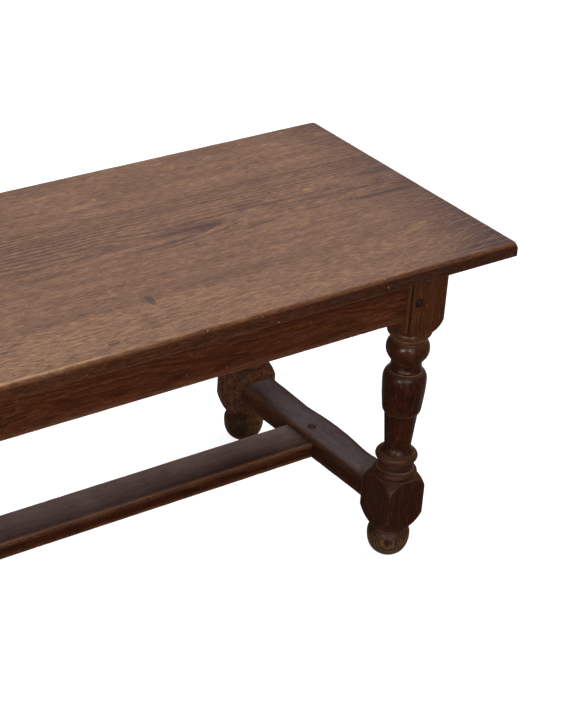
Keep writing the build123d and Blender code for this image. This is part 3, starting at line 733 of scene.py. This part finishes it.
def oak(name, grain, tones, ring_share, dust_and_sheen_share, specular, tint, rough, marked=False, peg_spots=()):
    """Aged oak. tones: deep, middle, light, line, worn, dust, side and bare colours. The worn colour also paints
    glints and highlights where the wear map holds them, and on the rails the dust colour stands partly for a painted
    sheen.
    """
    r = Recipe(bpy.data.materials.new(name))
    turned = grain == "Z"
    deep, middle, light, line, worn_tone, dust_and_sheen_tone, side_tone, bare_tone = tones
    place = r.place()
    worn, dust_and_roll_shade, figure, bold, tone = (r.map(label) for label in MAPS)
    sway = r.noise(place, 22.0)
    bent = shake(r, place, sway, (0.006, 0.006, 0.006))
    stretched = along_grain(r, bent, grain, 0.03)
    broad = r.noise(stretched, 70.0, 4.0, 0.6)
    fibre = r.noise(stretched, 650.0, 3.0, 0.65)
    streak = r.noise(stretched, 240.0, 3.0, 0.6)
    blotch = r.noise(place, 16.0, 5.0, 0.6)
    speck = r.noise(place, 450.0, 3.0, 0.7)

    # Growth rings: a dark porous line at each ring's start
    ripple = r.times(r.minus(streak, 0.5), 0.5 if marked else 0.9)
    phase = r.math("FRACT", r.plus(figure, ripple))
    rise = r.band(phase, 0.35, 0.82)
    fall = r.band(phase, 0.86, 1.0, 1.0, 0.0)
    breaks = r.band(r.noise(stretched, 120.0, 3.0, 0.6), 0.32, 0.62, 0.6 if marked else 0.25, 1.0)
    whole_ring = r.times(rise, fall)
    ring = r.times(whole_ring, breaks)
    ring = r.times(ring, bold)
    pore = r.band(r.noise(along_grain(r, bent, grain, 0.075), 1500.0), 0.58, 0.68)
    pore = r.times(pore, r.plus(r.times(ring, 0.7), 0.3))

    # Rays: short pale flecks in patches
    ray_field = along_grain(r, bent, grain, 0.22)
    ray_patch = r.band(r.noise(place, 9.0), 0.5, 0.66)
    ray = r.times(r.band(r.noise(ray_field, 340.0), 0.6, 0.7), ray_patch)

    # Ground colour: broad bands, streaks, blotches, fibres, dashes and specks
    colour = r.mix(r.band(broad, 0.34, 0.66), deep, middle)
    colour = r.mix(r.times(r.band(streak, 0.45, 0.75), 0.3), colour, light)
    colour = r.mix(r.times(r.band(blotch, 0.4, 0.75), 0.3), colour, deep)
    # Lighter where the tone map is below 0: lighter wood on the top and the far leg, and a painted sheen on the
    # stretchers
    colour = r.mix(r.times(tone, -0.8, clamp=True), colour, light)
    colour = r.mix(r.times(r.band(fibre, 0.5, 0.68), 0.5), colour, deep)
    dash = r.noise(along_grain(r, bent, grain, 0.14 if marked else 0.07), 560.0, 4.0, 0.75)
    colour = r.mix(r.times(r.band(dash, 0.5, 0.57), 0.8), colour, deep)
    colour = r.mix(r.times(r.band(dash, 0.48, 0.38), 0.45 if marked or turned else 0.3), colour, light)
    colour = r.mix(r.times(r.band(speck, 0.49, 0.55), 0.45 if marked else 0.6), colour, deep)
    if marked:
        grit = r.noise(along_grain(r, bent, grain, 0.05), 1000.0, 2.0, 0.6)
        near_corner = r.times(r.band(r.part(place, "Y"), -0.06, -0.18), r.band(r.part(place, "X"), 0.2, -0.15))
        strong = r.plus(r.times(near_corner, 0.25), 0.3)
        colour = r.mix(r.times(r.band(grit, 0.5, 0.6), strong), colour, line)
        colour = r.mix(r.times(r.band(grit, 0.5, 0.4), strong), colour, light)
    crisp = r.band(dash, 0.4, 0.54, 0.6 * ring_share, ring_share)
    colour = r.mix(r.times(ring, crisp), colour, line)
    # Darker where the tone map is above 0: the top's dark figure and its darker ends, partly painted shade, the
    # stretchers' painted shade and shadow, and the near leg's dark edge
    hatch = r.band(streak, 0.36, 0.58, 0.4, 0.9)
    colour = r.mix(r.times(tone, hatch, clamp=True), colour, line)
    colour = r.mix(r.times(ray, 0.4), colour, light)
    colour = r.mix(r.times(pore, 0.7), colour, line)

    # What hangs on the way a face looks: the top's sides, its rolled edges with painted shade, and its marks, or the
    # frame's dust, which on the rails' upward faces is partly a painted sheen
    facing = r.part(r.facing(), "Z")
    side = r.band(facing, 0.9, 0.35)
    below = r.band(facing, -0.6, -0.9)
    if marked:
        side_grain = r.mix(r.band(dash, 0.42, 0.6), side_tone, bare_tone)
        side_grain = r.mix(r.times(r.band(streak, 0.5, 0.62), 0.4), side_grain, dust_and_sheen_tone)
        along = r.band(r.part(place, "X"), -0.15, 0.45)
        side_grain = r.mix(1.0, side_grain, r.mix(along, *SIDE_GAIN), "MULTIPLY")
        colour = r.mix(side, colour, side_grain)
        # The rolled edge painted from light to dark: painted shade with the edge's darker colour
        roll_grain = r.mix(r.band(dash, 0.42, 0.6), *ROLL_TONES)
        colour = r.mix(r.times(dust_and_roll_shade, r.band(streak, 0.3, 0.6, 0.95, 0.7)), colour, roll_grain)
        shaken = shake(r, place, r.noise(place, 300.0), (0.006, 0.006, 0.0))
        dark = r.strongest(r.mark, shaken, DARK_MARKS)
        pale = r.strongest(r.mark, shaken, LIGHT_MARKS)
        ray_marks = r.strongest(r.strokes, bent, RAY_PATCHES)
        dark = r.times(dark, r.band(dash, 0.36, 0.52, 0.55, 1.0))
        on_top = r.band(facing, 0.5, 0.9)
        colour = r.mix(r.times(ray_marks, r.times(on_top, 0.5)), colour, light)
        colour = r.mix(r.times(dark, on_top), colour, line)
        colour = r.mix(r.times(pale, r.times(on_top, 0.6)), colour, worn_tone)
    else:
        height_here = r.part(place, "Z")
        foot = r.band(height_here, 0.044, 0.026)
        if turned:
            colour = r.mix(r.band(height_here, 0.29, 0.36, 0.0, 0.2), colour, middle)
        colour = r.vector("MULTIPLY", colour, r.mix(r.band(height_here, 0.29, 0.36), *GAINS[grain]))
        if turned:
            phase_here = r.plus(r.times(figure, 1.05), r.plus(r.times(ripple, 1.5), 0.4))
            close_phase = r.math("FRACT", phase_here)
            wide_ring = r.times(r.band(close_phase, 0.22, 0.64), r.band(close_phase, 0.86, 1.0, 0.95, 0.0))
            foot_grain = r.mix(r.times(wide_ring, r.band(dash, 0.36, 0.56, 0.8, 1.0)), side_tone, line)
            colour = r.mix(r.times(foot, 0.85), colour, foot_grain)
            level = r.band(facing, 0.45, 0.95, 0.0, 0.22)
            dust_and_roll_shade = r.times(dust_and_roll_shade, r.band(facing, -0.2, 0.3, 0.1, 1.0))
            dust_and_sheen = r.plus(dust_and_roll_shade, r.times(level, r.band(streak, 0.34, 0.6, 0.75, 1.1)))
            dust_and_sheen = r.times(dust_and_sheen, r.band(blotch, 0.36, 0.56, 0.55, 1.0))
            colour = r.mix(r.times(tone, 0.85, clamp=True), colour, line)
        else:
            # Rails: dust in the quirks and on upward faces, where it stands partly for a painted sheen
            level = r.band(facing, 0.3, 0.8)
            dust_and_sheen = r.plus(dust_and_roll_shade, r.times(level, r.band(streak, 0.34, 0.6, 0.72, 0.82)))
            dust_and_sheen = r.times(dust_and_sheen, r.band(blotch, 0.36, 0.56, 0.8, 1.0))
            dust_and_sheen = r.times(dust_and_sheen, r.band(dash, 0.46, 0.6, 1.0, 0.72))
            dust_and_sheen = r.times(dust_and_sheen, r.band(height_here, 0.2, 0.3, 1.0, 0.3))
            # Thinner where the tone map is high, which on the stretchers is painted shade
            dust_and_sheen = r.times(dust_and_sheen, r.minus(1.0, tone))
        colour = r.mix(r.times(dust_and_sheen, dust_and_sheen_share, clamp=True), colour, dust_and_sheen_tone)
    colour = r.mix(r.times(below, 0.7), colour, bare_tone)

    # Wear: rubbed edges, pale nicks and dark dents; the wear map also carries a painted glint on the top's front arris
    # and painted highlights on two legs, which take the worn colour here
    rub = r.times(worn, r.band(speck, 0.35, 0.62, 0.25, 1.0))
    colour = r.mix(r.times(rub, 0.7), colour, worn_tone)
    nick_field = shake(r, place, sway, (0.01, 0.01, 0.01))
    nick = r.band(r.cells(nick_field, 95.0), 0.16, 0.07)
    nick = r.times(nick, r.band(r.noise(place, 30.0), 0.55, 0.62))
    nick_tone = r.mix(side, worn_tone, light) if marked else worn_tone
    colour = r.mix(r.times(nick, 0.35), colour, nick_tone)
    if not marked:
        small = r.band(r.cells(nick_field, 170.0), 0.15, 0.07)
        small = r.times(small, r.band(r.noise(place, 24.0), 0.5, 0.6))
        colour = r.mix(r.times(small, 0.45), colour, worn_tone)
    pit = r.band(r.cells(r.vector("ADD", nick_field, (0.31, 0.17, 0.11)), 60.0), 0.09, 0.05)
    pit = r.times(pit, r.band(r.noise(place, 21.0), 0.56, 0.62))
    colour = r.mix(r.times(pit, 0.7), colour, line)
    if peg_spots:
        colour = r.mix(peg_gap(r, place, peg_spots), colour, line)
    r.put(r.shader["Base Color"], colour)

    # Gloss
    dull = r.plus(r.times(fibre, 0.16), r.times(blotch, 0.16))
    if not marked:
        dull = r.plus(dull, r.times(dust_and_sheen, 0.25))
    if turned:
        dull = r.plus(dull, r.band(height_here, 0.26, 0.18, 0.0, 0.2))
        dull = r.plus(dull, r.band(streak, 0.46, 0.6, 0.0, 0.2))
        dull = r.plus(dull, r.band(dash, 0.5, 0.6, 0.0, 0.2))
    dull = r.plus(dull, r.times(pore, 0.25))
    r.put(r.shader["Roughness"], r.plus(dull, rough - 0.16))
    r.shader["Specular IOR Level"].default_value = specular
    r.shader["Specular Tint"].default_value = tint

    # Fine relief
    height = r.plus(r.times(fibre, 0.25), r.times(streak, 0.3))
    height = r.minus(height, r.times(pore, 0.5))
    height = r.minus(height, r.times(ring, 0.15))
    height = r.minus(height, r.times(r.plus(nick, pit), 0.9))
    depth = (0.12 if marked else 0.55 if turned else 0.3) * MM
    r.put(r.shader["Normal"], r.relief(0.5, depth, height))
    return r.owner


def metal(name, colour, rough):
    """Dull turned steel with a few stains."""
    r = Recipe(bpy.data.materials.new(name))
    stain = r.noise(r.place(), 700.0, 4.0, 0.6)
    r.put(r.shader["Base Color"], r.mix(r.band(stain, 0.4, 0.7), colour, paint(70, 52, 40)))
    r.shader["Metallic"].default_value = 0.85
    r.put(r.shader["Roughness"], r.band(stain, 0.3, 0.7, rough, rough + 0.3))
    r.put(r.shader["Normal"], r.relief(0.3, 0.1 * MM, stain))
    return r.owner


# Tones of the oak, in the order that oak() takes them
TOP_TONES = (
    paint(115, 88, 76), paint(151, 115, 94), paint(184, 143, 111), paint(78, 62, 61), paint(188, 150, 110),
    paint(32, 14, 4), paint(40, 18, 5), paint(64, 32, 13),
)
RAIL_TONES = (
    paint(52, 24, 13), paint(74, 40, 24), paint(98, 60, 38), paint(30, 13, 7), paint(126, 84, 56),
    paint(102, 87, 82), paint(100, 74, 44), paint(60, 38, 24),
)
# The cross rails' dust colour is a bluer grey, partly a painted sheen
CROSS_TONES = RAIL_TONES[:5] + (paint(104, 94, 95),) + RAIL_TONES[6:]
LEG_TONES = (
    paint(34, 13, 5), paint(52, 22, 9), paint(80, 42, 23), paint(20, 8, 4), paint(104, 72, 50),
    paint(92, 72, 52), paint(91, 66, 43), paint(60, 38, 24),
)
PEG_TONES = (
    paint(34, 19, 12), paint(56, 33, 21), paint(84, 54, 37), paint(12, 7, 5), paint(80, 52, 38),
    paint(92, 80, 76), paint(38, 23, 15), paint(38, 23, 15),
)
BARE_TONES = (
    paint(96, 70, 46), paint(122, 92, 62), paint(146, 114, 80), paint(70, 50, 34), paint(160, 130, 96),
    paint(120, 105, 88), paint(110, 84, 58), paint(110, 84, 58),
)

WARM = (1.0, 0.9, 0.85, 1.0)
WHITE = (1.0, 1.0, 1.0, 1.0)

# After the tones: share of the ring lines, share of dust, which on the rails is partly a painted sheen, specular, its
# tint and roughness
oak_top = oak("oak_top", "X", TOP_TONES, 0.95, 0.0, 0.018, WHITE, 0.46, marked=True)
oak_long = oak("oak_frame_long", "X", RAIL_TONES, 0.7, 0.85, 0.004, WARM, 0.44)
oak_cross = oak("oak_frame_cross", "Y", CROSS_TONES, 0.7, 0.85, 0.006, WARM, 0.4, peg_spots=stretcher_peg_spots())
oak_turned = oak("oak_frame_turned", "Z", LEG_TONES, 0.7, 0.9, 0.009, WARM, 0.2, peg_spots=leg_peg_spots())
oak_peg = oak("oak_pegs", "Y", PEG_TONES, 0.5, 0.5, 0.004, WARM, 0.5)
oak_bare = oak("oak_bare", "X", BARE_TONES, 0.5, 0.2, 0.1, WHITE, 0.62)
screw_steel = metal("screw_steel", paint(150, 146, 140), 0.34)

for seed, node in enumerate(("leg_front_left", "leg_front_right", "leg_back_left", "leg_back_right")):
    mount_piece(make_leg(node, seed), node, oak_turned)
for seed, node in enumerate(("top_board_front", "top_board_middle", "top_board_back")):
    mount_piece(make_top_board(node, seed + 11), node, oak_top)

inner_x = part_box("leg_front_right")[0][0]
inner_y = -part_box("leg_front_right")[1][1]
span_long, span_cross = (-inner_x, inner_x), (-inner_y, inner_y)
low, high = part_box("apron_front")
apron_section = apron_outline(APRON_THICK, (high[2] - low[2]) / MM)
APRONS = (("apron_front", False, -1), ("apron_back", False, 1), ("apron_left", True, -1), ("apron_right", True, 1))
for seed, (node, along_y, outward) in enumerate(APRONS):
    span = span_cross if along_y else span_long
    piece = make_rail(node, apron_section, along_y, outward, span, seed + 30, rubbed=0.5)
    mount_piece(piece, node, oak_cross if along_y else oak_long)

# How the dust thins out, and painted sheen and shade change, across the stretchers' upper faces, from the inner to the
# outer edge: on the centre stretcher a painted sheen, light at the back edge and dark at the front; on the end
# stretchers darker along both edges, partly painted shade and partly dark worn edges
END_SHADE = ((-1.0, -0.88, -0.78, 0.0, 0.7, 0.86, 1.0), (0.85, 0.8, 0.0, 0.0, 0.1, 0.7, 0.6))
CENTRE_SHADE = ((-1.0, -0.5, 0.0, 0.6, 0.9, 1.0), (-0.6, -0.25, 0.1, 0.6, 0.9, 0.2))

# Patches along them where dust and painted sheen are thinner and the wood darker, or thicker below 0: place, half
# length, share, line across and its half width
ALL_ACROSS = (0.0, 9.0)
# On the centre stretcher the patch at 268 mm is a painted shadow of the near leg, and the others are painted sheen
CENTRE_CLOUDS = (
    (268.0, 42.0, 0.25, *ALL_ACROSS), (352.0, 26.0, -0.1, *ALL_ACROSS),
    (40.0, 90.0, -0.3, *ALL_ACROSS), (-120.0, 60.0, -0.15, *ALL_ACROSS),
)
# On the end stretchers the far half is darker with less painted sheen, with a dark strip along its inner edge there
END_CLOUDS = ((115.0, 50.0, 0.3, *ALL_ACROSS), (-60.0, 40.0, 0.08, *ALL_ACROSS), (100.0, 55.0, 0.9, -1.0, 0.55))

# How far the end stretchers' outer edge wanders out, at places along it, in millimetres
WAVE_PLACES = (-140.0, -107.0, -90.0, -78.0, -62.0, -40.0, -15.0, 12.0, 30.0, 50.0, 75.0, 110.0, 140.0)
WAVE_OFFSETS = (0.2, -0.4, -1.6, -0.9, 1.0, 3.1, 4.0, 3.0, 1.2, -0.2, 0.9, 2.6, 2.9)


def stretcher_sway(s):
    """How far the outer edge of an end stretcher wanders out, at places along it."""
    return np.interp(s, np.array(WAVE_PLACES) * MM, np.array(WAVE_OFFSETS) * MM)


for seed, (node, outward) in enumerate((("end_stretcher_left", -1), ("end_stretcher_right", 1))):
    low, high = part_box(node)
    section = block_outline((high[0] - low[0]) / MM, (high[2] - low[2]) / MM, (1.2, 2.4, 4.2, 0.9))
    piece = make_rail(node, section, True, outward, span_cross, seed + 40, 0.3, stretcher_sway, END_SHADE, END_CLOUDS)
    mount_piece(piece, node, oak_cross)
node = "centre_stretcher"
low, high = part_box(node)
section = block_outline((high[1] - low[1]) / MM, (high[2] - low[2]) / MM, (0.9, 1.3, 1.3, 0.9))
piece = make_rail(node, section, False, -1, span_long, 50, 0.75, None, CENTRE_SHADE, CENTRE_CLOUDS)
mount_piece(piece, node, oak_long)


def finish_node(item, material):
    """Gives a solid that is shown as it is its material."""
    item.data.materials.clear()
    item.data.materials.append(material)


for node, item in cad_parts.items():
    if "pegs" in node:
        finish_node(item, oak_peg)
    elif node.startswith("table_button"):
        finish_node(item, oak_bare)
    elif node == "button_screws":
        finish_node(item, screw_steel)


# Camera, lights and floor

# The photograph's viewpoint, solved from its straight edges: place in metres, turns in degrees about the given axes
CAMERA_PLACE = (-1.21843, -1.996015, 1.644543)
CAMERA_TURNS = ((-38.1793, "Z"), (61.0055, "X"), (4.3965, "Z"))
LENS, SENSOR = 109.571, 36.0

# Lamps, all aimed at one point: name, azimuth, elevation, distance, size, glow, shown in gleams, lighting dull faces
LAMP_AIM = (0.15, 0.0, 0.25)
LAMPS = (
    ("box_left", -147.0, 14.0, 3.0, 0.36, 95.0, True, True),
    ("box_right", -106.0, 20.0, 3.0, 0.36, 95.0, True, True),
    ("gleam_left", -147.0, 14.0, 2.9, 0.8, 480.0, True, False),
    ("gleam_right", -106.0, 20.0, 2.9, 0.8, 480.0, True, False),
    ("back", 95.0, 18.0, 3.0, 0.8, 14.0, False, True),
    ("far_end", 8.0, 18.0, 3.0, 0.8, 14.0, False, True),
    ("side_right", -30.0, 28.0, 2.8, 0.9, 11.0, True, True),
    ("overhead", 60.0, 72.0, 2.6, 2.0, 2.1, True, True),
)

# Strength of the world where it isn't seen
AMBIENT = 0.12

# The floor's half size, depth and grey, and its glow from this near to this far from the middle
FLOOR_HALF = 12.0
FLOOR_SINK = 0.4 * MM
FLOOR_GREY = 0.35
FLOOR_GLOW = (0.85, 1.0)
FLOOR_GLOW_SPREAD = (0.8, 1.7)


def place_camera():
    """Puts the camera at the photograph's viewpoint."""
    data = bpy.data.cameras.new("camera")
    data.sensor_width = SENSOR
    data.lens = LENS
    data.clip_end = 50.0
    camera = bpy.data.objects.new("camera", data)
    bpy.context.scene.collection.objects.link(camera)
    stand = Matrix.Translation(CAMERA_PLACE)
    for degrees, axis in CAMERA_TURNS:
        stand = stand @ Matrix.Rotation(math.radians(degrees), 4, axis)
    camera.matrix_world = stand
    bpy.context.scene.camera = camera


def place_lamp(name, azimuth, elevation, distance, size, glow, gleam, fill):
    """A soft square panel that faces the table; it may leave out reflections or the light on dull faces."""
    data = bpy.data.lights.new(name, "AREA")
    data.shape = "RECTANGLE"
    data.size = data.size_y = size
    data.energy = glow * math.pi * size * size
    lamp = bpy.data.objects.new(name, data)
    bpy.context.scene.collection.objects.link(lamp)
    a, e = math.radians(azimuth), math.radians(elevation)
    heading = Vector((math.cos(a) * math.cos(e), math.sin(a) * math.cos(e), math.sin(e)))
    lamp.location = Vector(LAMP_AIM) + heading * distance
    lamp.rotation_euler = heading.to_track_quat("Z", "Y").to_euler()
    lamp.visible_camera = False
    lamp.visible_diffuse = fill
    lamp.visible_glossy = gleam


def seen_share(r):
    """1 for rays that show a background: camera, glossy and transmission rays."""
    rays = r.tree.nodes.new("ShaderNodeLightPath").outputs
    seen = r.math("MAXIMUM", rays["Is Camera Ray"], rays["Is Glossy Ray"])
    return r.math("MAXIMUM", seen, rays["Is Transmission Ray"])


def make_world():
    """White where it is seen, and a soft fill elsewhere."""
    world = bpy.data.worlds.new("world")
    bpy.context.scene.world = world
    r = Recipe(world, "Background")
    r.shader["Color"].default_value = WHITE
    r.put(r.shader["Strength"], r.band(seen_share(r), 0.0, 1.0, AMBIENT, 1.0, "LINEAR"))


def make_floor():
    """A pale floor that shows white and keeps the table's shadow."""
    mesh = bpy.data.meshes.new("floor")
    corners = [(x * FLOOR_HALF, y * FLOOR_HALF, 0.0) for x, y in ((-1, -1), (1, -1), (1, 1), (-1, 1))]
    mesh.from_pydata(corners, [], [(0, 1, 2, 3)])
    floor = bpy.data.objects.new("floor", mesh)
    bpy.context.scene.collection.objects.link(floor)
    floor.location.z = -FLOOR_SINK
    r = Recipe(bpy.data.materials.new("floor"))
    r.shader["Base Color"].default_value = (FLOOR_GREY, FLOOR_GREY, FLOOR_GREY, 1.0)
    r.shader["Roughness"].default_value = 0.9
    r.shader["Specular IOR Level"].default_value = 0.0
    spread = r.band(r.length(r.place()), *FLOOR_GLOW_SPREAD, *FLOOR_GLOW, "LINEAR")
    r.shader["Emission Color"].default_value = WHITE
    r.put(r.shader["Emission Strength"], r.times(seen_share(r), spread))
    mesh.materials.append(r.owner)


place_camera()
for lamp in LAMPS:
    place_lamp(*lamp)
make_world()
make_floor()
bpy.context.scene.view_settings.view_transform = "Standard"
